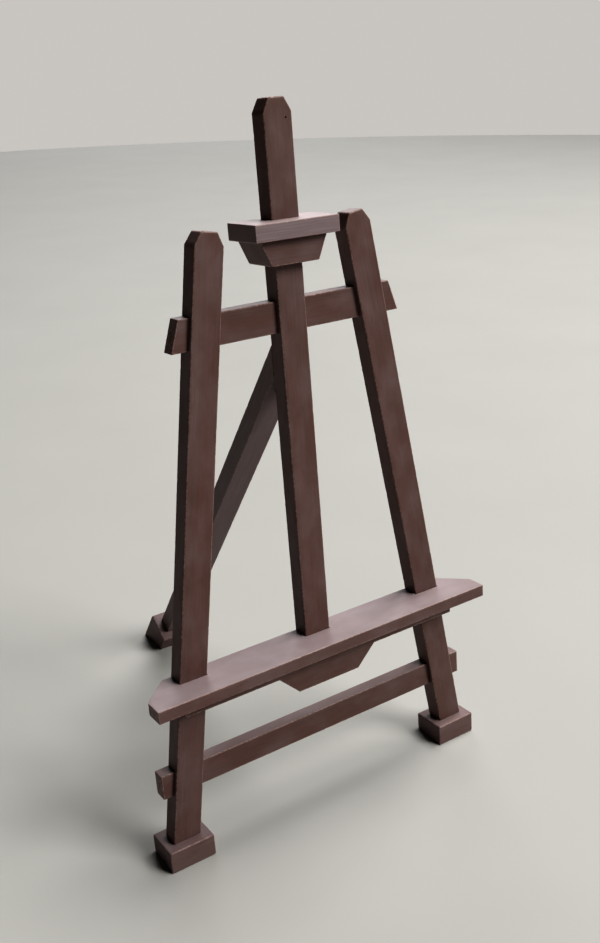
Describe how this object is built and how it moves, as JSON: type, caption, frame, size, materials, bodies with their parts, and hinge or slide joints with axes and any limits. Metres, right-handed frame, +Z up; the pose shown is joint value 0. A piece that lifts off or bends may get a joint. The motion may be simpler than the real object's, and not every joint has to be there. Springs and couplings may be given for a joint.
{
  "type": "tabletop easel",
  "caption": "Tabletop A-frame easel: splayed legs and a leaning mast on cross rails, with a canvas tray, a sliding top holder under a thumbscrew and a back leg that folds on a hinge.",
  "frame": {"origin": "on the floor under the middle of the easel's overall footprint", "axes": "+Z up from the floor, +Y back from the canvas side towards the back leg, +X across to the easel's right leg as seen from the front"},
  "size_m": [0.2, 0.2148, 0.3586],
  "materials": {
    "dark_wood": "dark brown stain, matte",
    "screw_steel": "dull zinc-plated steel",
    "dark_bronze": "dark antique bronze, satin",
    "brass": "aged satin brass"
  },
  "bodies": {
    "frame": {"left_leg": "dark_wood", "right_leg": "dark_wood", "mast": "dark_wood", "upper_rail": "dark_wood", "lower_rail": "dark_wood", "tray": "dark_wood", "tray_apron": "dark_wood", "left_foot": "dark_wood", "right_foot": "dark_wood", "rail_screws": "screw_steel", "apron_screws": "screw_steel", "tray_screws": "screw_steel", "front_foot_screws": "screw_steel", "hinge_mast_leaf": "dark_bronze", "hinge_mast_screws": "dark_bronze", "hinge_pin": "dark_bronze"},
    "back_leg": {"back_leg": "dark_wood", "back_foot": "dark_wood", "back_foot_screw": "screw_steel", "hinge_leg_leaf": "dark_bronze", "hinge_leg_screws": "dark_bronze"},
    "holder": {"holder_bar": "dark_wood", "holder_bracket": "dark_wood", "holder_screws": "screw_steel", "threaded_insert": "brass"},
    "thumbscrew": {"thumbscrew": "brass"}
  },
  "joints": [
    {"name": "back_leg_fold", "type": "hinge", "parent": "frame", "child": "back_leg", "pos_m": [0, -0.0678, 0.22715], "axis": [-1, 0, 0], "range_deg": [0, 39]},
    {"name": "holder_slide", "type": "slide", "parent": "frame", "child": "holder", "axis": [0, 0.0872, 0.9962], "range_m": [-0.016, 0.045]},
    {"name": "thumbscrew_turn", "type": "hinge", "parent": "holder", "child": "thumbscrew", "pos_m": [0, -0.06383, 0.29211], "axis": [0, 0.9962, -0.0872], "range_deg": [0, 360]}
  ]
}
